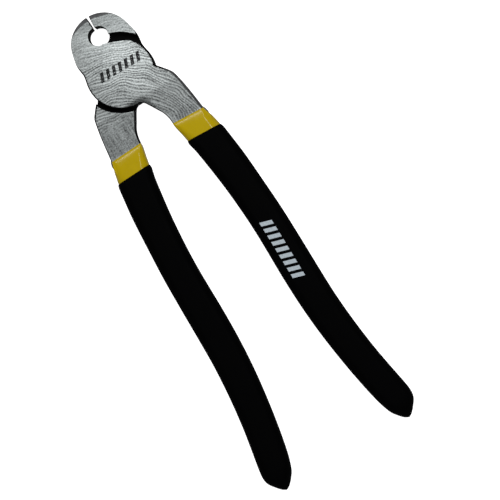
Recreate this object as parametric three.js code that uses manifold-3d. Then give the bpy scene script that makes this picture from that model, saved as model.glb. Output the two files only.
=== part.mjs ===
// Lap-joint cutting pliers with ring jaws and double-dipped handles.
// The two steel halves are the same forging: the back half is the front half turned over about the
// pliers' long axis. Each has a full-thickness jaw, a half-thickness hub that laps the other half's
// hub, and a full-thickness arm whose tang runs down inside a yellow and a black vinyl dip.
// Millimetres. +Y runs from the pivot to the jaws, +X to the front half's handle, +Z up out of the
// front face. The origin is on the pivot's axis, in the plane of the back face.
import * as THREE from "three";
import { mergeVertices } from "three/addons/utils/BufferGeometryUtils.js";
import Module from "manifold-3d";

// Thicknesses, through the joint and the handles.
const THICK = 10; // jaws, stacked hubs and black grips
const MID = THICK / 2;
const LAP_GAP = 0.1; // oil film between the lapped faces
const TANG_THICK = 7.5;
const FIT_GAP = 0.1; // between a dip and what it coats, and round the rivet

// Joint and jaws.
const HUB_R = 14.35;
const JAW_SHOULDER_R = 16.7; // the recess under the other half's jaw
const ARM_SHOULDER_R = 15.9; // the recess at the other half's arm
const RIVET_R = 3;
const RIVET_HEAD_R = 5.2;
const RIVET_HEAD_DEPTH = 2;
const EYE_R = 3.75; // bored with the jaws shut
const EYE_Y = 17.5;
const SLOT_HALF_ANGLE = 1.3; // degrees each side of the long axis, with the jaws just apart

// The head's crown is an arc, and its rim is bevelled by a cone about a lower centre.
const CROWN_R = 13.05;
const CROWN_Y = 13.65;
const CROWN_END = 165; // degrees
const BEVEL_Y = 5;
const BEVEL_R = 19.75;
const BEVEL_DEPTH = 2.2;
const BEVEL_SLOPE = (CROWN_Y + CROWN_R - BEVEL_Y - BEVEL_R) / BEVEL_DEPTH;

// The arms thin by ARM_DROP on each side from ARM_TAPER_START below the pivot to their ends.
const ARM_TAPER_START = 13;
const ARM_END = 28.2;
const ARM_DROP = 1.2;
const ARM_BEVEL = 0.85;

// Handle: stations are distances below the pivot.
const COLLAR_TOP = 28.5; // where the yellow dip starts
const GRIP_TOP = 37.6; // where the black dip starts
const HANDLE_END = 179.3;
const BLACK_WALL = 0.55;
const YELLOW_WALL = 0.6;
const CORNER_R = 3.8;
const CORNER_STEPS = 2;

const STEEL = { color: 0xa5a8aa, roughness: 0.35, metalness: 1 };
const YELLOW = { color: 0xb89c05, roughness: 0.35, metalness: 0 };
const BLACK = { color: 0x0a0a0c, roughness: 0.75, metalness: 0 };

const degrees = (a) => (a * Math.PI) / 180;
const onCircle = (r, angle, y = 0) => [r * Math.cos(degrees(angle)), y + r * Math.sin(degrees(angle))];
const vectors = (points) => points.map(([x, y]) => new THREE.Vector2(x, y));

// A smooth function through [station, value] knots: cubic pieces whose slope at a knot is that
// between its neighbours.
function through(knots) {
  const slope = (i) => {
    const a = knots[Math.max(i - 1, 0)];
    const b = knots[Math.min(i + 1, knots.length - 1)];
    return (b[1] - a[1]) / (b[0] - a[0]);
  };
  return (s) => {
    let i = knots.findIndex((k) => k[0] > s) - 1;
    if (i < 0) i = s < knots[0][0] ? 0 : knots.length - 2;
    const [s0, v0] = knots[i];
    const [s1, v1] = knots[i + 1];
    const h = s1 - s0;
    const t = THREE.MathUtils.clamp((s - s0) / h, 0, 1);
    return (
      v0 * (1 + 2 * t) * (1 - t) ** 2 +
      v1 * (3 - 2 * t) * t * t +
      h * t * (1 - t) * (slope(i) * (1 - t) - slope(i + 1) * t)
    );
  };
}

// The front half's handle, seen from above: its outer and inner edges against the station.
const outerEdge = through([
  [27.6, 21.72], [30.1, 22.83], [37.7, 24.24], [40.7, 24.94], [52.8, 26.45], [65.8, 27.36], [79.9, 28.11], [95, 28.36],
  [110.1, 28.46], [121.1, 28.71], [134.2, 29.67], [147.3, 31.23], [157.3, 32.89], [166.4, 34.55], [170.1, 34.95],
  [172.8, 34.55], [175.2, 33.14], [178.1, 30.57], [HANDLE_END, 28.85],
]);
const innerEdge = through([
  [27.6, 7.79], [30.1, 7.84], [37.7, 9.15], [46.7, 10.61], [59.8, 12.22], [72.9, 13.38], [84.9, 13.83], [105, 13.78],
  [118.1, 14.18], [131.2, 15.19], [144.3, 16.85], [157.3, 19.01], [166.8, 21.02], [171.4, 22.43], [174.4, 23.78],
  [178.1, 26.95], [HANDLE_END, 28.85],
]);
const endRound = (s) => Math.sqrt(1 - Math.max(0, (s - 168) / (HANDLE_END - 168)) ** 3);

const wasm = await Module();
wasm.setup();

function solid(geometry) {
  const bare = geometry.index ? geometry.toNonIndexed() : geometry.clone();
  bare.deleteAttribute("normal");
  bare.deleteAttribute("uv");
  const merged = mergeVertices(bare, 1e-4);
  return new wasm.Manifold(
    new wasm.Mesh({
      numProp: 3,
      vertProperties: merged.attributes.position.array,
      triVerts: new Uint32Array(merged.index.array),
    }),
  );
}

function mesh(name, shape, finish) {
  const { vertProperties, triVerts } = shape.getMesh();
  const geometry = new THREE.BufferGeometry();
  geometry.setAttribute("position", new THREE.BufferAttribute(vertProperties, 3));
  geometry.setIndex(new THREE.BufferAttribute(triVerts, 1));
  geometry.computeVertexNormals();
  const made = new THREE.Mesh(geometry, new THREE.MeshStandardMaterial(finish));
  made.name = name;
  return made;
}

// A prism of an outline between two heights.
function plate(outline, low, high, curveSegments = 24) {
  const geometry = new THREE.ExtrudeGeometry(outline, { depth: high - low, bevelEnabled: false, curveSegments });
  return solid(geometry.translate(0, 0, low));
}

// A lathed solid about the pivot's axis, from [radius, height] points.
function turned(profile, segments = 36) {
  const geometry = new THREE.LatheGeometry(vectors(profile), segments);
  return solid(geometry.rotateX(Math.PI / 2));
}

// A disc or cone frustum about an upright axis at (0, y).
function round(radiusTop, radiusLow, y, low, high, segments = 72) {
  const geometry = new THREE.CylinderGeometry(radiusTop, radiusLow, high - low, segments);
  return solid(geometry.rotateX(Math.PI / 2).translate(0, y, (low + high) / 2));
}

// A handle layer: rounded rectangles across the handle at each station, inset from the grip's
// outside. The first and last stations close on flat and pointed ends.
function handleLoft(stations, inset, thickness, edges = [innerEdge, outerEdge]) {
  const perRing = 4 * (CORNER_STEPS + 1);
  const points = [];
  for (const s of stations) {
    const left = edges[0](s);
    const right = edges[1](s);
    const centre = (left + right) / 2;
    const a = Math.max((right - left) / 2 - inset(s), 0.05);
    const b = Math.max((thickness(s) / 2) * endRound(s), 0.05);
    const r = Math.min(CORNER_R - inset(s), a * 0.95, b * 0.95);
    for (let j = 0; j < perRing; j++) {
      const corner = Math.floor(j / (CORNER_STEPS + 1));
      const turn = (corner + (j % (CORNER_STEPS + 1)) / CORNER_STEPS) * (Math.PI / 2);
      const sideX = corner === 0 || corner === 3 ? 1 : -1;
      const sideZ = corner < 2 ? 1 : -1;
      points.push(centre + sideX * (a - r) + r * Math.cos(turn), -s, MID + sideZ * (b - r) + r * Math.sin(turn));
    }
  }
  const rings = stations.length;
  const faces = [];
  for (let i = 0; i + 1 < rings; i++)
    for (let j = 0; j < perRing; j++) {
      const k = (j + 1) % perRing;
      const [p, q, u, v] = [i * perRing + j, i * perRing + k, (i + 1) * perRing + j, (i + 1) * perRing + k];
      faces.push(p, q, v, p, v, u);
    }
  const last = (rings - 1) * perRing;
  for (let j = 1; j + 1 < perRing; j++) {
    faces.push(0, j + 1, j);
    faces.push(last, last + j, last + j + 1);
  }
  const geometry = new THREE.BufferGeometry();
  geometry.setAttribute("position", new THREE.Float32BufferAttribute(points, 3));
  geometry.setIndex(faces);
  const made = solid(geometry);
  if (made.volume() < 0) throw new Error("handle loft is inside out");
  return made;
}

const steps = (from, to, count) => Array.from({ length: count + 1 }, (_, i) => from + ((to - from) * i) / count);

// The front half seen from above: crown, waist, hub, arm, hub again, then the straight edge that
// leads back to the eye. The eye and the slot are its last two stretches.
function halfOutline() {
  // Where the slot's face, a line through the pivot, meets a circle about (0, y).
  const slotOn = (r, y) =>
    90 + SLOT_HALF_ANGLE + THREE.MathUtils.radToDeg(Math.asin((y * Math.sin(degrees(SLOT_HALF_ANGLE))) / r));
  const outline = new THREE.Shape();
  outline.absarc(0, CROWN_Y, CROWN_R, degrees(slotOn(CROWN_R, CROWN_Y)), degrees(CROWN_END), false);
  outline.splineThru(
    vectors([[-13.35, 13.9], [-13.75, 11.2], [-13.6, 8.8], [-13.35, 6.9], [-13.6, 4.9], onCircle(HUB_R, 170)]),
  );
  outline.absarc(0, 0, HUB_R, degrees(172), degrees(273), false);
  outline.splineThru(
    vectors([[1.9, -14.9], [2.95, -16.3], [4.85, -19.5], [6.45, -22.3], [7.4, -25.2], [7.75, -ARM_END]]),
  );
  outline.lineTo(21.55, -ARM_END);
  outline.splineThru(vectors([[20.7, -21.5], [19.9, -16.2], [19.2, -12.7], [18.75, -10.8], [18.15, -9.6]]));
  outline.absarc(0, 0, HUB_R, degrees(-17.5), degrees(39), false);
  outline.quadraticCurveTo(10.35, 10, 9.2, 10.43);
  const [eyeX, eyeY] = onCircle(EYE_Y, 90 + SLOT_HALF_ANGLE);
  outline.lineTo(eyeX + EYE_R * Math.cos(degrees(-82)), eyeY + EYE_R * Math.sin(degrees(-82)));
  outline.absarc(eyeX, eyeY, EYE_R, degrees(-82), degrees(90 + SLOT_HALF_ANGLE - 360), true);
  return outline;
}

// The arm's outer edge is ground off at 45 degrees on the front face, down to the collar.
function armBevel() {
  const top = new THREE.Vector3(18.75, -10.6, THICK);
  const foot = new THREE.Vector3(21.6, -ARM_END, THICK - ARM_DROP);
  const up = top.clone().sub(foot);
  const side = 3;
  const shift = (side * Math.SQRT1_2 - ARM_BEVEL) / 2; // leaves the block's lower face one bevel in
  const block = new THREE.BoxGeometry(side, up.length() + 2, side).rotateY(Math.PI / 4).translate(shift, 0, shift);
  const along = up.clone().normalize();
  const outward = new THREE.Vector3(along.y, -along.x, 0).normalize();
  const place = new THREE.Matrix4().makeBasis(outward, along, outward.clone().cross(along));
  place.setPosition(top.add(foot).multiplyScalar(0.5));
  return solid(block.applyMatrix4(place));
}

function halfForging() {
  let half = plate(halfOutline(), 0, THICK, 7);

  // The arm thins towards the collar: keep what is inside this side profile.
  const profile = [
    [-30, 0], [ARM_TAPER_START, 0], [ARM_END, ARM_DROP],
    [ARM_END, THICK - ARM_DROP], [ARM_TAPER_START, THICK], [-30, THICK],
  ];
  const side = new THREE.Shape(vectors(profile));
  const envelope = plate(side, -30, 30).rotate([90, 0, 0]).rotate([0, 0, -90]);
  half = half.intersect(envelope);

  // Room for the other half's hub, wider under the jaw than at the arm.
  const recess = new THREE.Shape();
  recess.absarc(0, 0, JAW_SHOULDER_R, 0, Math.PI, false);
  recess.absarc(0, 0, ARM_SHOULDER_R, Math.PI, 2 * Math.PI, false);
  half = half.subtract(plate(recess, -1, MID + LAP_GAP / 2, 14));

  // The rim's bevel, front and back: what lies outside a cone that narrows to each face.
  const around = plate(
    new THREE.Shape(vectors([[-20, CROWN_Y], [20, CROWN_Y], [20, 30], [-20, 30]])),
    THICK - BEVEL_DEPTH * 1.2,
    THICK + 1,
  );
  const coneLow = THICK - BEVEL_DEPTH * 1.3;
  const cone = round(
    BEVEL_R - BEVEL_SLOPE * 1.5,
    BEVEL_R + BEVEL_SLOPE * (THICK - coneLow),
    BEVEL_Y,
    coneLow,
    THICK + 1.5,
    90,
  );
  const rim = around.subtract(cone);
  half = half.subtract(rim);
  half = half.subtract(rim.mirror([0, 0, 1]).translate([0, 0, THICK]));

  half = half.subtract(armBevel());

  // The countersunk hole for the rivet, in the hub's half thickness.
  const g = FIT_GAP;
  const hole = turned([
    [0, MID - 1],
    [RIVET_R + g, MID - 1],
    [RIVET_R + g, THICK - RIVET_HEAD_DEPTH],
    [RIVET_HEAD_R + g, THICK],
    [RIVET_HEAD_R + g, THICK + 1],
    [0, THICK + 1],
  ]);
  half = half.subtract(hole);

  // The tang inside the dips, with its edges rounded.
  const tang = handleLoft(
    [ARM_END - 0.2, ...COLLAR, ...BODY, 173.2],
    (s) => steelInset(s) + FIT_GAP,
    () => TANG_THICK,
  );
  return half.add(tang);
}

// Stations shared by every layer, so that each lies evenly inside the next.
const COLLAR = [29, 30, 32, 35, GRIP_TOP];
const BODY = [38.3, 39.3, 41, ...steps(50, 165, 11), 168, 170, 171.8];
const BULLET = [173.2, 174.6, 176];

// How far the steel lies inside the grip's outside: the first dip starts thin and thickens.
const steelInset = (s) =>
  THREE.MathUtils.lerp(BLACK_WALL, BLACK_WALL + YELLOW_WALL, THREE.MathUtils.smoothstep(s, COLLAR_TOP, 31));

// The yellow first dip coats the whole tang, and shows as a collar above the black.
const yellowInset = (s) => THREE.MathUtils.lerp(0, BLACK_WALL, THREE.MathUtils.smoothstep(s, 36, 41));
function yellowDip() {
  const lip = (s) => 0.4 * (1 - THREE.MathUtils.smoothstep(s, COLLAR_TOP - 0.5, 30.5));
  const outside = handleLoft(
    [COLLAR_TOP, ...COLLAR, ...BODY, ...BULLET, 177.4],
    (s) => yellowInset(s) + lip(s),
    (s) => THICK - 2 * BLACK_WALL - 2 * lip(s),
  );
  const cavity = handleLoft(
    [COLLAR_TOP - 1, ...COLLAR, ...BODY, 173.2, 173.4],
    steelInset,
    () => TANG_THICK + 2 * FIT_GAP,
  );
  return outside.subtract(cavity);
}

// The black second dip stops short of the first.
function blackDip() {
  const lip = (s) => (BLACK_WALL - 0.2) * (1 - THREE.MathUtils.smoothstep(s, GRIP_TOP - 0.3, 40));
  const outside = handleLoft(
    [GRIP_TOP, ...BODY, ...BULLET, 177.4, 178.5, HANDLE_END - 0.1],
    (s) => lip(s) - 0.3 * (1 - THREE.MathUtils.smoothstep(s, 36, 41)),
    (s) => THICK - 2 * lip(s),
  );
  const cavity = handleLoft(
    [GRIP_TOP - 1, ...BODY, ...BULLET, 177.4, 178],
    (s) => yellowInset(s) - FIT_GAP,
    () => THICK - 2 * BLACK_WALL + 2 * FIT_GAP,
  );
  return outside.subtract(cavity);
}

function rivet() {
  return turned([
    [0, 0],
    [RIVET_HEAD_R, 0],
    [RIVET_R, RIVET_HEAD_DEPTH],
    [RIVET_R, THICK - RIVET_HEAD_DEPTH],
    [RIVET_HEAD_R, THICK],
    [0, THICK],
  ]);
}

const forging = halfForging();
const yellow = yellowDip();
const black = blackDip();

const frontHalf = new THREE.Group();
frontHalf.add(mesh("front_half", forging, STEEL));
frontHalf.add(mesh("front_yellow_dip", yellow, YELLOW));
frontHalf.add(mesh("front_black_grip", black, BLACK));

// The same pieces turned over about the long axis, with the rivet fast in them.
const backHalf = new THREE.Group();
backHalf.rotation.y = Math.PI;
backHalf.position.z = THICK;
backHalf.add(mesh("back_half", forging, STEEL));
backHalf.add(mesh("back_yellow_dip", yellow, YELLOW));
backHalf.add(mesh("back_black_grip", black, BLACK));
backHalf.add(mesh("pivot_rivet", rivet(), STEEL));

const pliers = new THREE.Group();
pliers.add(frontHalf, backHalf);

export default pliers;
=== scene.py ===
"""Lap-joint pliers with ring jaws and double-dipped handles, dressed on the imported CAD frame.

Sizes are in millimetres until a mesh is made. The origin is on the pivot's axis in the plane of the
back face, +Y runs to the jaws, +X to the front half's handle and +Z out of the front face.
"""
import math

import bpy
import numpy as np
from mathutils import Matrix, Vector
from mathutils.geometry import delaunay_2d_cdt


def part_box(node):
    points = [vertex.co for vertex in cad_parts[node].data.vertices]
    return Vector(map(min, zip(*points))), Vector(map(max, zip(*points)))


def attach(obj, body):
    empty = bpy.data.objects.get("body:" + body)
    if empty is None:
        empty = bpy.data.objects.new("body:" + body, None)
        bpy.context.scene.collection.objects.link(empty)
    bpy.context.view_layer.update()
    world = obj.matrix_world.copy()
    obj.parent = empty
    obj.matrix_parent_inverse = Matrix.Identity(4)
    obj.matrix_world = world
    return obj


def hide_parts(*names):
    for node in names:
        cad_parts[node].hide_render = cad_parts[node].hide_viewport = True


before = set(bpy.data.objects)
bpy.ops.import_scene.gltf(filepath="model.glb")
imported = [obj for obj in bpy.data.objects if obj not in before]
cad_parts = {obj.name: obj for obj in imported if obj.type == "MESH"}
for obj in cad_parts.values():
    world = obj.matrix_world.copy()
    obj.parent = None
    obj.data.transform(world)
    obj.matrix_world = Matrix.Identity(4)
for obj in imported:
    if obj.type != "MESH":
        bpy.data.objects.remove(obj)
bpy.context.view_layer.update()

# ---------------------------------------------------------------------------------------------
# The camera hangs 0.87 m above the bench and looks almost straight down, turned so that the jaws
# are at the top left. Its lens takes in 201.5 mm of the bench.
mm = 0.001
camera_at = Vector((41.4, -96.55, 885)) * mm
camera_aim = Vector((8.3, -88.1, 10)) * mm
head_lean = math.radians(30.89)
field_width = 201.55 * mm

look = (camera_at - camera_aim).normalized()
right = Vector((math.sin(head_lean), math.cos(head_lean), 0)).cross(look).normalized()
camera = bpy.data.objects.new("camera", bpy.data.cameras.new("camera"))
turn = Matrix((right, look.cross(right), look)).transposed()
camera.matrix_world = Matrix.Translation(camera_at) @ turn.to_4x4()
camera.data.angle = 2 * math.atan(field_width / 2 / (camera_at - camera_aim).length)
bpy.context.scene.collection.objects.link(camera)
bpy.context.scene.camera = camera

# ---------------------------------------------------------------------------------------------
# The bench is a plain white sheet. It glows a little, so it keeps almost no shadow, and it throws
# no light of its own onto the pliers.
bench_half_width = 1.5


def shader_node(tree, kind, values=(), **settings):
    """A node of that kind, with its settings made. Each input is given a value or joined to a socket."""
    made = tree.nodes.new(kind)
    for name, value in settings.items():
        setattr(made, name, value)
    for socket, value in dict(values).items():
        if isinstance(value, bpy.types.NodeSocket):
            tree.links.new(value, made.inputs[socket])
        else:
            made.inputs[socket].default_value = value
    return made


def new_material(name):
    """An empty material's node tree with its Principled shader, ready for nodes."""
    material = bpy.data.materials.new(name)
    material.use_nodes = True
    return material, material.node_tree, material.node_tree.nodes["Principled BSDF"]


corners = np.array([[-1, -1], [1, -1], [1, 1], [-1, 1]]) * bench_half_width
bench_mesh = bpy.data.meshes.new("bench")
bench_mesh.from_pydata([(x, y, 0) for x, y in corners], [], [(0, 1, 2, 3)])
bench = bpy.data.objects.new("bench", bench_mesh)
bpy.context.scene.collection.objects.link(bench)
paper, _, paper_shader = new_material("white_paper")
paper_shader.inputs["Base Color"].default_value = (0.8, 0.8, 0.8, 1)
paper_shader.inputs["Roughness"].default_value = 1
paper_shader.inputs["Specular IOR Level"].default_value = 0
paper_shader.inputs["Emission Color"].default_value = (1, 1, 1, 1)
paper_shader.inputs["Emission Strength"].default_value = 1
bench_mesh.materials.append(paper)
bench.visible_diffuse = False
bench.visible_glossy = False

# Light: a pale room, a broad softbox overhead, and two harder strips that draw thin highlights along
# the swelled edges of the dips, one beyond the jaws and one out to the right.
room = bpy.data.worlds.new("pale_room")
room.use_nodes = True
room.node_tree.nodes["Background"].inputs["Color"].default_value = (1, 1, 1, 1)
room.node_tree.nodes["Background"].inputs["Strength"].default_value = 0.38
bpy.context.scene.world = room
bpy.context.scene.view_settings.view_transform = "Standard"


def softbox(name, place, aim, size, watts):
    """An oblong area light at a place, facing the aim, its sides along X and Y, in millimetres."""
    lamp = bpy.data.lights.new(name, "AREA")
    lamp.shape = "RECTANGLE"
    lamp.size, lamp.size_y = np.array(size) * mm
    lamp.energy = watts
    hung = bpy.data.objects.new(name, lamp)
    towards = (Vector(place) - Vector(aim)).normalized()
    across = Vector((0, 1, 0)).cross(towards).normalized()
    turn = Matrix((across, towards.cross(across), towards)).transposed()
    hung.matrix_world = Matrix.Translation(Vector(place) * mm) @ turn.to_4x4()
    bpy.context.scene.collection.objects.link(hung)


softbox("overhead_softbox", (120, 60, 700), (10, -60, 0), (450, 450), 0.1)
softbox("far_strip", (8, 285, 722), (10, -30, 0), (300, 70), 1.35)
softbox("right_strip", (235, 20, 715), (0, -40, 0), (70, 300), 1.35)

# ---------------------------------------------------------------------------------------------
# The two steel halves are one drop forging: a full-thickness jaw, a half-thickness hub and a
# full-thickness arm whose tang runs down inside the dips. Flats belt-ground after riveting, the
# crown bevelled front and back, the sides left black. The back half is the front one turned over.
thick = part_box("front_half")[1].z / mm
mid = thick / 2
lap_gap = 0.05
hub_r = 14.3
jaw_recess_r = 16.7
arm_recess_r = 15.9
eye_r = 3.75
eye_y = 17.5
slot_lean = math.radians(1.3)
crown_y = 13.65
crown_r = 13.05
bevel_y = 5
bevel_r = 19.75
bevel_slope = 1.13
edge_r = 0.36
jaw_edge_r = 0.12
jaw_flank = 11.5
rivet_hole_r = 3.1
rivet_head_r = 5.2
rivet_head_depth = 2
arm_end = 28.2
arm_taper_start = 13
arm_drop = 1.2
arm_bevel = 0.95
tang_end = 172.5
tang_half = 3.3
tang_inset = 1.7


def smooth_through(knots):
    """A smooth function of one number through (place, value) knots: cubic pieces whose slope at a
    knot is that between its neighbours."""
    place, value = np.array(knots, float).T
    ends = np.clip(np.arange(len(place))[:, None] + [-1, 1], 0, len(place) - 1)
    slope = np.diff(value[ends])[:, 0] / np.diff(place[ends])[:, 0]

    def at(s):
        i = np.clip(np.searchsorted(place, s) - 1, 0, len(place) - 2)
        h = place[i + 1] - place[i]
        t = np.clip((s - place[i]) / h, 0, 1)
        keep = value[i] * (1 + 2 * t) * (1 - t) ** 2 + value[i + 1] * (3 - 2 * t) * t**2
        return keep + h * t * (1 - t) * (slope[i] * (1 - t) - slope[i + 1] * t)

    return at


def smooth_step(x, low, high):
    """0 below low, 1 above high, and a smooth S between."""
    t = np.clip((x - low) / (high - low), 0, 1)
    return t * t * (3 - 2 * t)


def arc(centre, radius, start, end, spacing=0.2):
    """Points along a circle from one angle to another, in degrees."""
    count = max(2, int(abs(math.radians(end - start)) * radius / spacing))
    turn = np.radians(np.linspace(start, end, count))
    return np.stack([centre[0] + radius * np.cos(turn), centre[1] + radius * np.sin(turn)], 1)


def bend(knots, spacing=0.2):
    """Points along a smooth curve through knots: x and y are smooth functions of chord length."""
    knots = np.array(knots, float)
    chord = np.r_[0, np.cumsum(np.hypot(*np.diff(knots, axis=0).T))]
    s = np.linspace(0, chord[-1], max(2, int(chord[-1] / spacing)))
    return np.stack([smooth_through(np.stack([chord, knots[:, k]], 1))(s) for k in (0, 1)], 1)


# The coated handle's two edges: how far each is from the long axis, against the distance below the
# pivot. Above the black grip they are the first dip's edges, moved out by the black's wall.
black_wall = 0.55
handle_end = 179.2
handle_out = smooth_through([
    (27.6, 22.0), (28.4, 22.3), (29.1, 22.75), (29.6, 23.1), (30.6, 23.55), (31.6, 23.76), (33.6, 24.05),
    (35.6, 24.35), (37.7, 24.68), (39.7, 24.86), (40.7, 24.99), (42.7, 25.23), (52.8, 26.36), (65.8, 27.24),
    (79.9, 28.02), (95, 28.32), (110.1, 28.46), (121.1, 28.71), (134.2, 29.67), (147.3, 31.23),
    (157.3, 32.89), (166.4, 34.55), (170.1, 34.95), (172.8, 34.55), (175.2, 33.14), (178.1, 30.57),
    (handle_end, 28.85),
])
handle_in = smooth_through([
    (27.6, 7.15), (28.6, 7.1), (29.6, 7.15), (30.6, 7.3), (31.6, 7.49), (32.6, 7.68), (33.6, 7.93),
    (34.6, 8.13), (35.6, 8.3), (36.6, 8.45), (37.7, 8.67), (38.7, 8.86), (39.7, 9.16), (41.2, 9.52),
    (42.7, 9.87), (46.7, 10.5), (59.8, 12.2), (72.9, 13.3), (84.9, 13.78), (105, 13.78),
    (118.1, 14.18), (131.2, 15.19), (144.3, 16.85), (157.3, 19.01), (166.8, 21.02), (171.4, 22.43),
    (174.4, 23.78), (178.1, 26.95), (handle_end, 28.85),
])


def tang_in(s):
    """The tang's edge nearest the other handle: the grip's edge, less both dips, which start thin."""
    return handle_in(s) + 0.6 + (tang_inset - 0.6) * smooth_step(s, arm_end, 36)


def tang_out(s):
    """The tang's outer edge, worked out in the same way."""
    return handle_out(s) - 0.65 - (tang_inset - 0.65) * smooth_step(s, arm_end, 34)


def half_outline():
    """The front half's outline, anticlockwise from the crown's end of the slot, and which of its
    points are on the arm's bevelled outer edge and on the crotch."""
    slot = 90 + math.degrees(slot_lean)
    crown_from = slot + math.degrees(math.asin(crown_y * math.sin(slot_lean) / crown_r))
    eye = (-eye_y * math.sin(slot_lean), eye_y * math.cos(slot_lean))
    down = np.linspace(arm_end, tang_end, 130)[1:]
    tang_tip = ((tang_in(tang_end) + tang_out(tang_end)) / 2, -tang_end - 1.5)
    inner_arm = bend([
        (0.75, -14.3), (1.9, -14.9), (2.95, -16.3), (4.85, -19.5), (6.45, -22.3), (7.4, -25.2),
        (7.76, -arm_end),
    ])
    outer_arm = bend([
        (tang_out(arm_end), -arm_end), (20.7, -21.5), (19.9, -16.2), (19.2, -12.7), (18.75, -10.8),
        (18.15, -9.6),
    ])
    runs = [
        arc((0, crown_y), crown_r, crown_from, 165),
        bend([(-12.6, 17.03), (-13.35, 13.9), (-13.75, 11.2), (-13.6, 8.8), (-13.35, 6.9), (-13.6, 4.9),
              (-14.1, 2.5)]),
        arc((0, 0), hub_r, 171.5, 273),
        inner_arm,
        np.stack([tang_in(down), -down], 1),
        np.array([tang_tip]),
        np.stack([tang_out(down), -down], 1)[::-1],
        outer_arm,
        bend([(18.15, -9.6), (16, -6.9), (14.4, -5.0), (13.75, -4.1)]),
        arc((0, 0), hub_r, -16, 38.5),
        bend([(11.2, 8.9), (10.75, 9.45), (10, 10.05), (9.1, 10.46), (5, 11.98), (0.12, 13.79)]),
        arc(eye, eye_r, -82, slot - 360, 0.12),
    ]
    tip = runs[0][0]
    lip = runs[-1][-1]
    runs.append(lip + (tip - lip) * np.linspace(0, 1, 26)[1:-1, None])
    points = np.concatenate(runs)
    far = np.hypot(*(points - np.roll(points, 1, 0)).T) > 0.02
    return points[far], outer_arm, inner_arm[inner_arm[:, 1] > -21.5]


def recess_reach(points):
    """How far points are outside the recess that clears the other half's hub."""
    return np.hypot(points[:, 0], points[:, 1]) - np.where(points[:, 1] > 0, jaw_recess_r, arm_recess_r)


def with_recess_corners(outline):
    """The outline with a point added wherever it crosses the recess's rim, and those points' indices."""
    reach = recess_reach(outline)
    after = np.roll(reach, -1)
    cut = np.flatnonzero(reach * after < 0)
    share = (reach[cut] / (reach[cut] - after[cut]))[:, None]
    added = outline[cut] + share * (np.roll(outline, -1, 0)[cut] - outline[cut])
    return np.insert(outline, cut + 1, added, 0), cut + 1 + np.arange(len(cut))


def distance_to(points, path, closed=False):
    """The distance from each point to the nearest place on a path of straight pieces."""
    a = path if closed else path[:-1]
    b = np.roll(path, -1, 0) if closed else path[1:]
    along = b - a
    nearest = np.empty(len(points))
    for start in range(0, len(points), 2000):
        gap = points[start:start + 2000, None] - a[None]
        t = np.clip((gap * along).sum(2) / (along**2).sum(1), 0, 1)
        nearest[start:start + 2000] = np.sqrt(((gap - t[..., None] * along) ** 2).sum(2).min(1))
    return nearest


def distance_to_any(points, paths):
    """The distance from each point to the nearest of several open paths."""
    return np.min([distance_to(points, path) for path in paths], 0)


def is_inside(points, loop):
    """Whether points are inside a closed loop: a ray to the right crosses it an odd number of times."""
    a, b = loop, np.roll(loop, -1, 0)
    inside = np.empty(len(points), bool)
    for start in range(0, len(points), 4000):
        x, y = points[start:start + 4000].T[:, :, None]
        spans = (a[:, 1] > y) != (b[:, 1] > y)
        rise = np.where(b[:, 1] == a[:, 1], 1e-9, b[:, 1] - a[:, 1])
        crosses = spans & (x < (b[:, 0] - a[:, 0]) * (y - a[:, 1]) / rise + a[:, 0])
        inside[start:start + 4000] = crosses.sum(1) % 2 == 1
    return inside


def offset_rings(path, closed, depths):
    """Copies of a path moved to its left by each depth, without the points that come too near it."""
    ahead = np.roll(path, -1, 0) - path if closed else np.gradient(path, axis=0)
    behind = np.roll(ahead, 1, 0) if closed else ahead
    heading = ahead / np.hypot(*ahead.T)[:, None] + behind / np.hypot(*behind.T)[:, None]
    normal = np.stack([-heading[:, 1], heading[:, 0]], 1) / np.hypot(*heading.T)[:, None]
    rings = []
    for depth in depths:
        ring = path + normal * depth
        rings.append(ring[distance_to(ring, path, closed) > depth * 0.97])
    return rings


def plan_triangles(loops, creases, spots):
    """Triangles of the plan between the first loop and the others, which are holes. They keep every
    loop and crease as edges and use every spot. Returns points, triangles and each loop's indices."""
    points, edges, loop_ids = [], [], []
    for line, closed in [(loop, True) for loop in loops] + [(crease, False) for crease in creases]:
        first = sum(len(p) for p in points)
        ids = np.arange(first, first + len(line))
        points.append(line)
        edges += list(zip(ids, np.roll(ids, -1)))[: None if closed else -1]
        loop_ids.append(ids)
    points = np.concatenate(points + [spots])
    made, _, faces, source, _, _ = delaunay_2d_cdt(
        [Vector(p) for p in points], [(int(a), int(b)) for a, b in edges], [], 0, 1e-5, True
    )
    made = np.array(made)
    faces = np.array(faces)
    centre = made[faces].mean(1)
    keep = is_inside(centre, loops[0])
    for hole in loops[1:]:
        keep &= ~is_inside(centre, hole)
    faces = faces[keep]
    a, b, c = made[faces].transpose(1, 0, 2)
    turned = (b[:, 0] - a[:, 0]) * (c[:, 1] - a[:, 1]) - (b[:, 1] - a[:, 1]) * (c[:, 0] - a[:, 0])
    faces[turned < 0] = faces[turned < 0][:, ::-1]
    where = np.zeros(len(points), int)
    for new, olds in enumerate(source):
        where[list(olds)] = new
    return made, faces[abs(turned) > 1e-9], [where[ids] for ids in loop_ids]


def edge_round(points, depth):
    """How far a rounded edge falls below its face, that far in from the edge: a quarter circle, which
    is smaller round the jaws, where grinding took it off."""
    radius = edge_r + (jaw_edge_r - edge_r) * smooth_step(points[:, 1], jaw_flank - 2, jaw_flank + 1)
    short = np.clip(radius - depth, 0, radius)
    return radius - np.sqrt(radius**2 - short**2)


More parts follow.
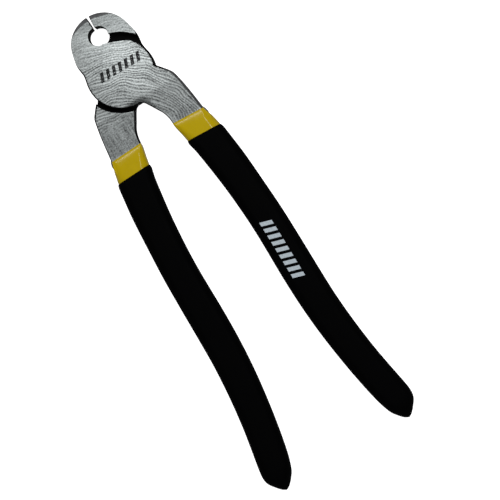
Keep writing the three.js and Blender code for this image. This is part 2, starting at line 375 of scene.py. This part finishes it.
def unground_width(points):
    """How far in from an edge the belt left the forging black: all of the rounding, and more round the
    hub, most on the right. It fades out below the jaws, where only the eye and the slot have any."""
    x, y = points.T
    low = 0.4 + (0.2 + 0.12 * smooth_step(x, 6, 12)) * smooth_step(y, -14, -9)
    bored = (np.hypot(x, y - eye_y) < eye_r + 0.7) | (abs(x) < 1.2)
    return np.maximum(low * (1 - smooth_step(y, 7.5, 13.5)), np.where(bored, jaw_edge_r, 0))


def strip(low, high, closed):
    """Triangles of a wall between two rows of the same number of points, low row first."""
    n = len(low)
    i = np.arange(n if closed else n - 1)
    j = (i + 1) % n
    faces = np.concatenate([np.stack([i, j, n + j], 1), np.stack([i, n + j, n + i], 1)])
    return np.concatenate([low, high]), faces


def welded(patches):
    """One mesh from patches, with equal points joined and flat faces dropped. A patch is its points,
    its triangles, each triangle's finish, and each point's two shade values."""
    count = 0
    points, faces, finish, shade = [], [], [], []
    for patch in patches:
        points.append(patch[0])
        faces.append(patch[1] + count)
        finish.append(np.broadcast_to(patch[2], len(patch[1])))
        shade.append(np.broadcast_to(patch[3], (len(patch[0]), 2)))
        count += len(patch[0])
    points = np.concatenate(points)
    _, first, back = np.unique(np.round(points, 4), axis=0, return_index=True, return_inverse=True)
    faces = back.reshape(-1)[np.concatenate(faces)]
    whole = (faces[:, 0] != faces[:, 1]) & (faces[:, 1] != faces[:, 2]) & (faces[:, 2] != faces[:, 0])
    used, packed = np.unique(faces[whole], return_inverse=True)
    keep = first[used]
    faces = packed.reshape(-1, 3)
    return points[keep], faces, np.concatenate(finish)[whole], np.concatenate(shade)[keep]


GROUND, BEVEL, ARM_BEVEL, BLACK = 0, 1, 2, 3


def steel_half():
    """The front half's points, triangles, finish of each triangle, and shade values of each point.

    Each face is a height over the plan: the flat face, less the arm's taper, less the crown's cone,
    less the arm's 45 degree bevel, less the soft roll at the crotch, less a quarter circle at edges.
    """
    outline, outer_arm, crotch = half_outline()
    outline, corners = with_recess_corners(outline)
    outline = outline.round(4)
    in_recess = recess_reach(outline) < 0
    in_recess[corners] = False

    def rim_cut(points):
        past_rim = np.clip(np.hypot(points[:, 0], points[:, 1] - bevel_y) - bevel_r, 0, None)
        return bevel_slope * past_rim * (points[:, 1] > 9)

    def taper(points):
        below = -points[:, 1]
        thin = arm_drop * np.clip((below - arm_taper_start) / (arm_end - arm_taper_start), 0, 1)
        return thin + (mid - arm_drop - tang_half) * smooth_step(below, arm_end + 1, 36)

    def arm_cut(points):
        return np.clip(arm_bevel - distance_to(points, outer_arm), 0, None) * (points[:, 1] > -30)

    def crotch_roll(points):
        below = -points[:, 1]
        width = 2.7 * (1 - smooth_step(below, 13, 21.5)) * smooth_step(points[:, 0], -8, 0) + 0.01
        share = np.clip(1 - distance_to(points, crotch_path) / width, 0, 1)
        # The second value is how strongly the crotch's roll is darkened with painted shade in the steel's
        # colour.
        return 0.3 * width * share**2, share * np.clip(width / 2, 0, 1)

    crotch_path = np.concatenate([arc((0, 0), hub_r, 235, 273), crotch])
    depths = edge_r * np.array([0.134, 0.36, 0.66, 1, 1.35])
    unit_circle = arc((0, 0), 1, 0, 360, 2 * math.pi / 97)[:-1]

    # Spots to fill the plan with: a fine staggered grid where steel shows, a coarse one for the tang.
    fine_gap, coarse_gap, tang_top = 0.6, 2.2, -32
    rows = np.arange(tang_top, 28, fine_gap * math.sqrt(3) / 2)
    shown = np.stack(np.meshgrid(np.arange(-16, 36, fine_gap), rows), -1)
    shown[1::2, :, 0] += fine_gap / 2
    hidden = np.stack(np.meshgrid(np.arange(8, 36, coarse_gap), np.arange(-176, tang_top, coarse_gap)), -1)
    spots = np.concatenate([shown.reshape(-1, 2), hidden.reshape(-1, 2)])
    spots = spots[is_inside(spots, outline)]
    spots = spots[distance_to(spots, outline, True) > 0.5]
    rings = offset_rings(outline, True, depths)
    rings = [ring[(ring[:, 1] > tang_top + 1) & is_inside(ring, outline)] for ring in rings]

    # The face that shows the whole outline, with the rivet's head let into it.
    rim_line = arc((0, bevel_y), bevel_r, 60, 120, 0.25)
    bevel_line = offset_rings(outer_arm, False, [arm_bevel])[0]
    creases = [line[is_inside(line, outline)] for line in (rim_line, bevel_line)]
    creases = [line[distance_to(line, outline, True) > 0.1] for line in creases]
    clear = spots[distance_to_any(spots, creases) > 0.25]
    clear = np.concatenate([clear] + rings)
    clear = clear[distance_to_any(clear, creases) > 0.02]
    head_hole = rivet_head_r * unit_circle
    clear = clear[np.hypot(*clear.T) > rivet_head_r + 0.2]
    flat, faces, (rim_ids, hole_ids, *_) = plan_triangles([outline, head_hole], creases, clear)
    depth = distance_to(flat, outline, True)
    roll, crotch_shade_share = crotch_roll(flat)
    top = thick - taper(flat) - rim_cut(flat) - arm_cut(flat) - roll - edge_round(flat, depth)
    centre = flat[faces].mean(1)
    finish = np.where(rim_cut(centre) > 0.02, BEVEL, GROUND)
    finish = np.where(distance_to(centre, outline, True) < unground_width(centre), BLACK, finish)
    finish = np.where(arm_cut(centre) > 0.02, ARM_BEVEL, finish)
    shade = np.stack([crotch_shade_share, np.zeros(len(flat))], 1)
    patches = [(np.c_[flat, top], faces, finish, shade)]
    rim_top = np.c_[flat, top][rim_ids]
    head_rim = np.c_[flat, top][hole_ids]

    # The other face: the jaw and the arm, and between them the recess at half thickness.
    floor = mid + lap_gap
    angle = np.degrees(np.arctan2(outline[corners, 1], outline[corners, 0]))
    jaw_ends = corners[angle > 0][np.argsort(angle[angle > 0])]
    arm_ends = corners[angle < 0][np.argsort(angle[angle < 0])]
    walls = []
    for ends, radius in ((jaw_ends, jaw_recess_r), (arm_ends, arm_recess_r)):
        start, stop = np.degrees(np.arctan2(outline[ends, 1], outline[ends, 0]))
        line = arc((0, 0), radius, start, stop)
        line[[0, -1]] = outline[ends]
        walls.append(line)
    shoulder_rings = [ring for line in walls for ring in offset_rings(line[::-1], False, depths)]
    loose = np.concatenate([spots] + rings + shoulder_rings)
    loose = loose[is_inside(loose, outline)]
    edge_gap = np.minimum(distance_to(loose, outline, True), distance_to_any(loose, walls))
    loose = loose[edge_gap > depths[0] * 0.9]
    loose = loose[(recess_reach(loose) >= 0) | (distance_to_any(loose, walls) > 0.4)]
    loose = loose[np.hypot(*loose.T) > rivet_hole_r + 0.2]
    shank_hole = rivet_hole_r * unit_circle
    under, under_faces, loop_ids = plan_triangles([outline, shank_hole], walls, loose)
    low_ids, shank_ids, *wall_ids = loop_ids
    depth = np.minimum(distance_to(under, outline, True), distance_to_any(under, walls))
    bottom = taper(under) + rim_cut(under) + edge_round(under, depth)
    centre = under[under_faces].mean(1)
    floored = recess_reach(centre) < 0
    outward = under_faces[:, ::-1]
    finish = np.where(rim_cut(centre) > 0.02, BEVEL, GROUND)
    edge_gap = np.minimum(distance_to(centre, outline, True), 1.5 * distance_to_any(centre, walls))
    finish = np.where(edge_gap < unground_width(centre), BLACK, finish)
    length_share = smooth_step(-under[:, 1], 13, 21)
    shade = np.stack([np.zeros(len(under)), length_share], 1)
    patches.append((np.c_[under, bottom], outward[~floored], finish[~floored], shade))
    level = np.full(len(under), floor)
    patches.append((np.c_[under, level], outward[floored], BLACK, (0, 0)))

    # Upright walls: the upper half all round, the lower half except at the recess, the recess's own.
    middle = np.c_[outline, np.full(len(outline), floor)]
    patches.append((*strip(middle, rim_top, True), BLACK, (0, 0)))
    low_rim = np.c_[under, bottom][low_ids]
    points, faces = strip(low_rim, middle, True)
    solid_side = ~(in_recess | np.roll(in_recess, -1))
    patches.append((points, faces[np.tile(solid_side, 2)], BLACK, (0, 0)))
    for ids in wall_ids:
        low = np.c_[under, bottom][ids]
        points, faces = strip(low, np.c_[under[ids], level[ids]], False)
        patches.append((points, faces[:, ::-1], BLACK, (0, 0)))
    shank_low = np.c_[under, level][shank_ids]
    neck = np.c_[shank_low[:, :2], np.full(len(shank_low), thick - rivet_head_depth)]
    points, faces = strip(shank_low, neck, True)
    patches.append((points, faces[:, ::-1], BLACK, (0, 0)))
    points, faces = strip(neck, head_rim, True)
    patches.append((points, faces[:, ::-1], BLACK, (0, 0)))
    return welded(patches)


def worked(tree, operation, *terms):
    """The result of one arithmetic node."""
    return shader_node(tree, "ShaderNodeMath", enumerate(terms), operation=operation).outputs[0]


def grain(tree, where, stretch, detail):
    """Noise from 0 to 1 at a place in millimetres, with so many cells to the millimetre each way."""
    spread = shader_node(tree, "ShaderNodeVectorMath", {0: where, 1: stretch}, operation="MULTIPLY")
    noise = {"Vector": spread.outputs[0], "Scale": 1, "Detail": detail}
    return shader_node(tree, "ShaderNodeTexNoise", noise).outputs[0]


def varied(tree, middle, *parts):
    """The middle value plus each part's weight times how far its texture is from a half."""
    total = middle - sum(weight for weight, _ in parts) / 2
    for weight, texture in parts:
        total = worked(tree, "MULTIPLY_ADD", texture, weight, total)
    return total


def scaled(tree, three, value):
    """Three numbers, such as a place or a colour, times a value."""
    return shader_node(tree, "ShaderNodeVectorMath", {0: three, "Scale": value}, operation="SCALE").outputs[0]


def blended(tree, one, other, share):
    """One value where the share is 0, the other where it is 1."""
    return worked(tree, "MULTIPLY_ADD", worked(tree, "SUBTRACT", other, one), share, one)


def place_in_mm(tree):
    """Where a point is on the object, in millimetres."""
    return scaled(tree, shader_node(tree, "ShaderNodeTexCoord").outputs["Object"], 1 / mm)


def mapped(tree, value, from_low, from_high, to_low, to_high):
    """A value's place between two limits, carried over to between two others and held there."""
    limits = {"From Min": from_low, "From Max": from_high, "To Min": to_low, "To Max": to_high}
    return shader_node(tree, "ShaderNodeMapRange", {"Value": value, **limits}).outputs[0]


def bumped(tree, shader, height, depth):
    """Gives the shader a bump of so many millimetres from a height of 0 to 1."""
    bump = shader_node(tree, "ShaderNodeBump", {"Height": height, "Distance": depth * mm, "Strength": 1})
    tree.links.new(bump.outputs[0], shader.inputs["Normal"])


def slanted_bars(tree, along, across, pitch, width, length, height, slant):
    """1 on a row of slanted bars centred on 0, 0, and 0 off them.

    The distance along, sheared by the slant, is taken in pitches. A bar is where it is less than half
    a width from the middle of its pitch. The row is cut off at its length and height.
    """
    sheared = worked(tree, "MULTIPLY_ADD", across, -slant, along)
    shared = worked(tree, "MULTIPLY_ADD", sheared, 1 / pitch, 0.5)
    off_middle = worked(tree, "ABSOLUTE", worked(tree, "SUBTRACT", worked(tree, "FRACT", shared), 0.5))
    on_bar = worked(tree, "LESS_THAN", off_middle, width / pitch / 2)
    in_length = worked(tree, "LESS_THAN", worked(tree, "ABSOLUTE", sheared), length / 2)
    in_height = worked(tree, "LESS_THAN", worked(tree, "ABSOLUTE", across), height / 2)
    return worked(tree, "MULTIPLY", worked(tree, "MULTIPLY", on_bar, in_length), in_height)


# Belt-ground face: silvery, in streaks along the belt's arcs that turn to run down the back half's
# arm, with pits and cloudy patches. The row of bars is the dull mark rolled across the pivot.
mark_at = (1.2, 2.25)
mark_size = (19.6, 3.9)
mark_pitch = 2.8
mark_bar = 1.5
mark_slant = 0.36
mark_depth = 0.1
ground_tone = 0.3
belt_pitch = 1.1
belt_wander = 3.6
# Where the painted pool of light on the steel is brightest, in millimetres.
painted_light_at = (8, 6, 5)


def ground_steel():
    """The belt-ground material. Streaks are noise stretched along the arc, with a finer ripple across
    it, read from the piece's own belt map. A painted pool of light makes the middle of the hub's right
    side brightest, with painted shade towards the jaws' upper right, and the ripple fades out up the jaws.

    The ripple is the square of a sine of the distance out, so its crests are thin and its troughs
    broad, and the coarse streaks push it to and fro.
    """
    steel, tree, shader = new_material("belt_ground_steel")
    place = place_in_mm(tree)
    x, y, z = shader_node(tree, "ShaderNodeSeparateXYZ", {0: place}).outputs
    belt = shader_node(tree, "ShaderNodeUVMap", uv_map="belt").outputs[0]
    lengthwise = shader_node(tree, "ShaderNodeAttribute", attribute_name="lengthwise").outputs["Fac"]
    rolled = shader_node(tree, "ShaderNodeAttribute", attribute_name="painted_crotch_shade").outputs["Fac"]

    sway = worked(tree, "MULTIPLY", grain(tree, place, (0.13, 0.13, 0.13), 0), belt_wander)
    swayed = shader_node(tree, "ShaderNodeCombineXYZ", {"Y": sway}).outputs[0]
    belt = shader_node(tree, "ShaderNodeVectorMath", {0: belt, 1: swayed}, operation="ADD").outputs[0]
    coarse_round = grain(tree, belt, (0.045, 1.2, 0), 2)
    coarse = blended(tree, coarse_round, grain(tree, place, (1.2, 0.08, 0.3), 2), lengthwise)
    fine_round = grain(tree, belt, (0.5, 2.4, 0), 3)
    fine = blended(tree, fine_round, grain(tree, place, (2.8, 0.2, 1), 3), lengthwise)
    radius = shader_node(tree, "ShaderNodeSeparateXYZ", {0: belt}).outputs[1]
    pushed = worked(tree, "MULTIPLY", coarse, 7)
    waved = worked(tree, "SINE", worked(tree, "MULTIPLY_ADD", radius, 2 * math.pi / belt_pitch, pushed))
    crest = worked(tree, "POWER", worked(tree, "MULTIPLY_ADD", waved, 0.5, 0.5), 2)
    ripple = blended(tree, crest, 0.5, lengthwise)
    on_jaws = mapped(tree, y, 7, 15, 0, 0.6)
    coarse, ripple = blended(tree, coarse, 0.5, on_jaws), blended(tree, ripple, 0.5, on_jaws)
    pits = grain(tree, place, (1.7, 1.7, 1.7), 3)
    cloud = grain(tree, place, (0.1, 0.1, 0.1), 2)
    share = varied(tree, 1, (1.5, coarse), (1.0, fine), (0.7, ripple), (2.4, pits), (0.7, cloud))

    # Painted light: the steel's tone is raised round a point on the hub's right side and lowered towards the
    # jaws' upper right, standing in for how the lamps fall on it.
    off_painted_light = {0: place, 1: painted_light_at}
    off_painted_light = shader_node(tree, "ShaderNodeVectorMath", off_painted_light, operation="DISTANCE").outputs[1]
    bright = mapped(tree, off_painted_light, 4, 22, 1.36, 0.73)
    painted_light_falloff = mapped(tree, worked(tree, "ADD", x, y), 15, 24, 1, 0.8)
    bright = worked(tree, "MULTIPLY", bright, painted_light_falloff)
    share = worked(tree, "MULTIPLY", worked(tree, "MAXIMUM", share, 0.2), bright)
    # Painted shade: the steel's colour is darkened along the crotch's roll.
    share = worked(tree, "MULTIPLY", share, worked(tree, "MULTIPLY_ADD", rolled, -0.3, 1))

    along = worked(tree, "SUBTRACT", x, mark_at[0])
    across = worked(tree, "SUBTRACT", y, mark_at[1])
    bars = slanted_bars(tree, along, across, mark_pitch, mark_bar, *mark_size, mark_slant)
    on_front = worked(tree, "GREATER_THAN", z, thick - mark_depth)
    worn = worked(tree, "GREATER_THAN", pits, 0.38)
    mark = worked(tree, "MULTIPLY", worked(tree, "MULTIPLY", bars, on_front), worn)
    share = worked(tree, "MULTIPLY", share, worked(tree, "MULTIPLY_ADD", mark, -0.9, 1))
    tone = worked(tree, "MULTIPLY", share, ground_tone)
    tree.links.new(scaled(tree, (0.935, 1.0, 0.995), tone), shader.inputs["Base Color"])
    shader.inputs["Metallic"].default_value = 1
    roughness = varied(tree, 0.42, (0.2, cloud), (0.2, pits), (-0.2, coarse))
    tree.links.new(worked(tree, "MULTIPLY_ADD", mark, 0.25, roughness), shader.inputs["Roughness"])
    relief = varied(tree, 0.5, (0.5, coarse), (0.5, fine), (0.5, pits))
    bumped(tree, shader, worked(tree, "MULTIPLY_ADD", mark, -0.3, relief), 0.02)
    return steel


def rough_steel(name, tone, metallic, roughness, coarseness):
    """Darker steel: a speckled tone, with pits so many to the millimetre and slow cloudy patches."""
    steel, tree, shader = new_material(name)
    place = place_in_mm(tree)
    pits = grain(tree, place, (coarseness, coarseness, coarseness), 3)
    cloud = grain(tree, place, (0.2, 0.2, 0.2), 2)
    brightness = varied(tree, tone, (tone, pits), (tone * 0.9, cloud))
    tree.links.new(scaled(tree, (0.98, 1.0, 1.02), brightness), shader.inputs["Base Color"])
    tree.links.new(varied(tree, roughness, (0.3, pits), (0.1, cloud)), shader.inputs["Roughness"])
    shader.inputs["Metallic"].default_value = metallic
    shader.inputs["Specular IOR Level"].default_value = 0.04
    bumped(tree, shader, pits, 0.05)
    return steel


half_finishes = [
    ground_steel(),
    rough_steel("coarse_bevel_steel", 0.22, 1, 0.5, 1.6),
    rough_steel("arm_bevel_steel", 0.13, 1, 0.5, 1.6),
    rough_steel("black_forged_scale", 0.003, 0, 0.8, 1.1),
]


def new_piece(name, points, faces, body, node):
    """A smooth mesh from points in millimetres, riding on a body in the place of a CAD node."""
    mesh = bpy.data.meshes.new(name)
    mesh.from_pydata((points * mm).tolist(), [], faces if isinstance(faces, list) else faces.tolist())
    mesh.polygons.foreach_set("use_smooth", np.ones(len(mesh.polygons), bool))
    piece = bpy.data.objects.new(name, mesh)
    bpy.context.scene.collection.objects.link(piece)
    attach(piece, body)
    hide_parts(node)
    return piece


def turned_over(points):
    """The other half's points: half a turn about the long axis, through the middle of the thickness."""
    return points * (-1, 1, -1) + (0, 0, thick)


# The belt ran in arcs about a centre beside the arms, with the joint closed up, so on each face of
# the pliers every piece's arcs share that centre.
belt_centre = (-15, -33)
belt_reach = 45


def add_belt_map(mesh):
    """Maps a mesh to how far round and how far out it is from the belt's centre on its own face."""
    corners = np.empty(len(mesh.loops), np.int32)
    mesh.loops.foreach_get("vertex_index", corners)
    points = np.empty(len(mesh.vertices) * 3)
    mesh.vertices.foreach_get("co", points)
    x, y, z = points.reshape(-1, 3)[corners].T / mm
    x = np.where(z > mid, x, -x) - belt_centre[0]
    y = y - belt_centre[1]
    swing = np.stack([np.arctan2(x, y) * belt_reach, np.hypot(x, y)], 1)
    mesh.uv_layers.new(name="belt").data.foreach_set("uv", swing.reshape(-1))


half_points, half_faces, half_finish, half_shade = steel_half()
for half, body, node in (("front_forging", "front", "front_half"), ("back_forging", "back", "back_half")):
    points = half_points if body == "front" else turned_over(half_points)
    mesh = new_piece(half, points, half_faces, body, node).data
    for finish in half_finishes:
        mesh.materials.append(finish)
    mesh.polygons.foreach_set("material_index", half_finish.astype(np.int32))
    # The first shade value is the crotch's painted shade, the second the lengthwise share of the grinding.
    for name, values in (("painted_crotch_shade", half_shade[:, 0]), ("lengthwise", half_shade[:, 1])):
        mesh.attributes.new(name, "FLOAT", "POINT").data.foreach_set("value", values)
    add_belt_map(mesh)
    mesh.set_sharp_from_angle(angle=math.radians(32))

# ---------------------------------------------------------------------------------------------
# The rivet: a soft steel pin through both hubs, both ends peened into countersinks and ground flush
# with the faces, so that only a hairline shows.
rivet_gap = 0.03
rivet_edge = 0.04


def turned_pin():
    """The rivet's points and faces: a profile of radius and height turned about the pivot."""
    head = rivet_head_r - rivet_gap
    shank = rivet_hole_r - rivet_gap
    low = [
        (0.4, 0), (1.5, 0), (3, 0), (head - 0.5, 0), (head - rivet_edge, 0), (head, rivet_edge),
        (shank, rivet_head_depth), (shank, mid),
    ]
    profile = np.array(low + [(r, thick - z) for r, z in low[-2::-1]])
    count = 96
    around = np.linspace(0, 2 * math.pi, count, endpoint=False)
    radius, height = profile.T[:, :, None]
    rows = np.stack([radius * np.cos(around), radius * np.sin(around), height + 0 * around], 2)
    return skin(rows)


def skin(rows):
    """Points and faces of rows of points round a closed shape, with a point at each end's middle.
    The rows run so that faces point outwards when each goes anticlockwise and the next is further on."""
    n, m = rows.shape[:2]
    ends = rows[[0, -1]].mean(1)
    i, j = np.meshgrid(np.arange(n - 1), np.arange(m), indexing="ij")
    k = (j + 1) % m
    quads = np.stack([i * m + j, i * m + k, (i + 1) * m + k, (i + 1) * m + j], 2).reshape(-1, 4)
    j = np.arange(m)
    k = (j + 1) % m
    first = np.stack([np.full(m, n * m), k, j], 1)
    last = np.stack([np.full(m, n * m + 1), (n - 1) * m + j, (n - 1) * m + k], 1)
    return np.concatenate([rows.reshape(-1, 3), ends]), quads.tolist() + first.tolist() + last.tolist()


points, faces = turned_pin()
rivet = new_piece("pivot_pin", points, faces, "back", "pivot_rivet")
rivet.data.materials.append(half_finishes[GROUND])
add_belt_map(rivet.data)
rivet.data.set_sharp_from_angle(angle=math.radians(32))

# ---------------------------------------------------------------------------------------------
# The first dip of each handle: glossy yellow vinyl over the whole tang. Its lip is a thin bead that
# hugs the arm and swells to full thickness in four millimetres.
section_corner = 3.8
coat_gap = 0.03
tip_from = 168
yellow_end = 178
yellow_half = thick / 2 - black_wall
collar_top = 28.25
collar_swell = 4.0
lip_lean = 0.05
swell_lean = 0.11


def rounded_sections(stations, left, right, half, corners, lean):
    """Rounded rectangles across the handle: rows of points, one row for each station.

    Each is four quarter circles joined by straight sides, its middle at half the thickness. The corners
    are the radii at the inner edge and at the outer one. A leaning section lies further down the handle
    towards its outer edge.
    """
    steps = 13
    quarter = np.linspace(0, math.pi / 2, steps)
    turn = np.concatenate([quarter, quarter + math.pi / 2, quarter + math.pi, quarter + 1.5 * math.pi])
    side_x = np.repeat([1, -1, -1, 1], steps)
    side_z = np.repeat([1, 1, -1, -1], steps)
    stations, left, right, half, inner, outer, lean = (
        np.broadcast_to(value, np.shape(stations))[:, None]
        for value in (stations, left, right, half, *corners, lean)
    )
    reach = (right - left) / 2
    corner = np.minimum(np.where(side_x > 0, outer, inner), 0.97 * np.minimum(reach, half))
    x = (left + right) / 2 + side_x * (reach - corner) + corner * np.cos(turn)
    z = mid + side_z * (half - corner) + corner * np.sin(turn)
    return np.stack([x, -stations - lean * (x - left), z], 2)


def end_round(stations):
    """How the handle's thickness rounds off towards its end: 1, falling to 0 as a soft arc."""
    share = np.clip((stations - tip_from) / (handle_end - tip_from), 0, 1)
    return np.sqrt(1 - share**3)


def down_handle(start, end, lip=3):
    """Stations from a lip to the end, close together at both ends."""
    near = start + lip * np.linspace(0, 1, 16) ** 1.6
    rest_end = tip_from - 2
    rest = np.linspace(start + lip, rest_end, 56)[1:]
    tip = rest_end + (end - rest_end) * np.sin(np.linspace(0, math.pi / 2, 26))[1:]
    return np.concatenate([near, rest, tip])


def steel_at(stations):
    """The tang's edges and half thickness, as the halves' taper has them."""
    half = mid - arm_drop - (mid - arm_drop - tang_half) * smooth_step(stations, arm_end + 1, 36)
    return tang_in(stations), tang_out(stations), half


def yellow_outside(stations):
    """The first dip's outside: edges, half thickness and corners at each station. The thickness grows
    from the lip as 1 less the cube of what is left of the swell."""
    share = np.clip((stations - collar_top) / collar_swell, 0, 1)
    steel_half_thick = steel_at(stations)[2]
    half = steel_half_thick + 0.06 + (yellow_half - steel_half_thick - 0.06) * (1 - (1 - share) ** 3)
    inner = 0.45 + 2.4 * smooth_step(stations, collar_top, 31.6) + 1.3 * smooth_step(stations, 31, 38)
    outer = 0.75 + 2.95 * smooth_step(stations, 27.4, 31) + 0.6 * smooth_step(stations, 31, 38)
    left, right = handle_in(stations) + black_wall, handle_out(stations) - black_wall
    return left, right, half * end_round(stations), (inner, outer)


def lean_at(stations):
    """The lip's lean, which is greater on the swell below it and dies away down the handle."""
    swell = smooth_step(stations, collar_top, 30) * (1 - smooth_step(stations, 31, 36.5))
    return lip_lean * (1 - smooth_step(stations, 30, 60)) + swell_lean * swell


def yellow_rows():
    """Up the inside against the steel, round the lip, and down the outside."""
    up = down_handle(collar_top + 0.05, tang_end + 0.3)[::-1]
    left, right, half = steel_at(up)
    inside = rounded_sections(
        up, left - coat_gap, right + coat_gap, half + coat_gap, (0.3, 0.3), lean_at(up)
    )
    down = down_handle(collar_top, yellow_end)
    left, right, half, corners = yellow_outside(down)
    return np.concatenate([inside, rounded_sections(down, left, right, half, corners, lean_at(down))])


def yellow_vinyl():
    """Glossy yellow plastisol: faintly mottled, with the slow waves of a dipped skin."""
    vinyl, tree, shader = new_material("yellow_dip_vinyl")
    place = place_in_mm(tree)
    mottle = grain(tree, place, (0.35, 0.2, 0.35), 2)
    waves = grain(tree, place, (0.25, 0.12, 0.25), 1)
    skin_grain = grain(tree, place, (1.4, 1.4, 1.4), 3)
    brightness = varied(tree, 1, (0.12, mottle), (0.06, skin_grain))
    tree.links.new(scaled(tree, (0.49, 0.352, 0.0), brightness), shader.inputs["Base Color"])
    tree.links.new(varied(tree, 0.16, (0.05, skin_grain), (0.06, mottle)), shader.inputs["Roughness"])
    shader.inputs["Specular IOR Level"].default_value = 0.14
    bumped(tree, shader, varied(tree, 0.5, (0.8, waves), (0.1, skin_grain)), 0.02)
    return vinyl


yellow = yellow_vinyl()
points, faces = skin(yellow_rows())
for side in ("front", "back"):
    placed = points if side == "front" else turned_over(points)
    piece = new_piece(f"{side}_first_dip", placed, faces, side, f"{side}_yellow_dip")
    piece.data.materials.append(yellow)

# ---------------------------------------------------------------------------------------------
# The second dip: matt black vinyl over the first, from just below the collar to the rounded end,
# with a soft bead at its lip. The front handle carries a pale printed row of bars.
grip_top = 37.45
grip_swell = 2.2
print_at = (94.4, -1.35)
print_size = (27.36, 4.9)
print_pitch = 3.04
print_bar = 1.75
print_slant = 0.3


def black_rows():
    """Up the inside against the first dip, round the lip, and down the outside."""
    up = down_handle(grip_top + 0.05, yellow_end + 0.1)[::-1]
    left, right, half, corners = yellow_outside(up)
    inside = rounded_sections(
        up, left - coat_gap, right + coat_gap, half + coat_gap, corners, lean_at(up)
    )
    down = down_handle(grip_top, handle_end - 0.01)
    share = np.clip((down - grip_top) / grip_swell, 0, 1)
    lip = (black_wall - 0.12) * (1 - share) ** 2
    half = (thick / 2 - lip) * end_round(down)
    corner = section_corner - lip
    sections = rounded_sections(
        down, handle_in(down) + lip, handle_out(down) - lip, half, (corner, corner), lean_at(down)
    )
    return np.concatenate([inside, sections])


def black_vinyl(name, printed):
    """Matt black plastisol, finely pitted. The print is a pale hatched ink on the front face."""
    vinyl, tree, shader = new_material(name)
    place = place_in_mm(tree)
    pits = grain(tree, place, (2.2, 2.2, 2.2), 3)
    waves = grain(tree, place, (0.2, 0.1, 0.2), 2)
    brightness = varied(tree, 0.0004, (0.0005, pits), (0.0003, waves))
    colour = scaled(tree, (0.9, 0.95, 1.3), brightness)
    if printed:
        down, across, _ = shader_node(tree, "ShaderNodeSeparateXYZ", {
            0: shader_node(tree, "ShaderNodeUVMap", uv_map="handle").outputs[0]
        }).outputs
        z = shader_node(tree, "ShaderNodeSeparateXYZ", {0: place}).outputs[2]
        from_middle = [worked(tree, "SUBTRACT", value, at) for value, at in zip((down, across), print_at)]
        bars = slanted_bars(tree, *from_middle, print_pitch, print_bar, *print_size, print_slant)
        hatch = worked(tree, "SINE", worked(tree, "MULTIPLY", worked(tree, "ADD", down, across), 9))
        ink = worked(tree, "MULTIPLY", bars, worked(tree, "GREATER_THAN", z, thick - 1))
        ink = worked(tree, "MULTIPLY", ink, worked(tree, "MULTIPLY_ADD", hatch, 0.2, 0.8))
        ink = worked(tree, "MULTIPLY", ink, varied(tree, 1, (0.8, pits)))
        pale = scaled(tree, (0.6, 0.68, 0.74), ink)
        colour = shader_node(tree, "ShaderNodeVectorMath", {0: colour, 1: pale}, operation="ADD").outputs[0]
    tree.links.new(colour, shader.inputs["Base Color"])
    tree.links.new(varied(tree, 0.6, (0.25, pits), (0.15, waves)), shader.inputs["Roughness"])
    shader.inputs["Specular IOR Level"].default_value = 0.02
    bumped(tree, shader, varied(tree, 0.5, (0.4, pits), (0.8, waves)), 0.08)
    return vinyl


points, faces = skin(black_rows())
centre = (handle_in(-points[:, 1]) + handle_out(-points[:, 1])) / 2
handle_map = np.stack([-points[:, 1], points[:, 0] - centre], 1)
for side, printed in (("front", True), ("back", False)):
    placed = points if side == "front" else turned_over(points)
    piece = new_piece(f"{side}_second_dip", placed, faces, side, f"{side}_black_grip")
    corners = np.concatenate(faces)
    piece.data.uv_layers.new(name="handle").data.foreach_set("uv", handle_map[corners].reshape(-1))
    piece.data.materials.append(black_vinyl(f"{side}_black_vinyl", printed))
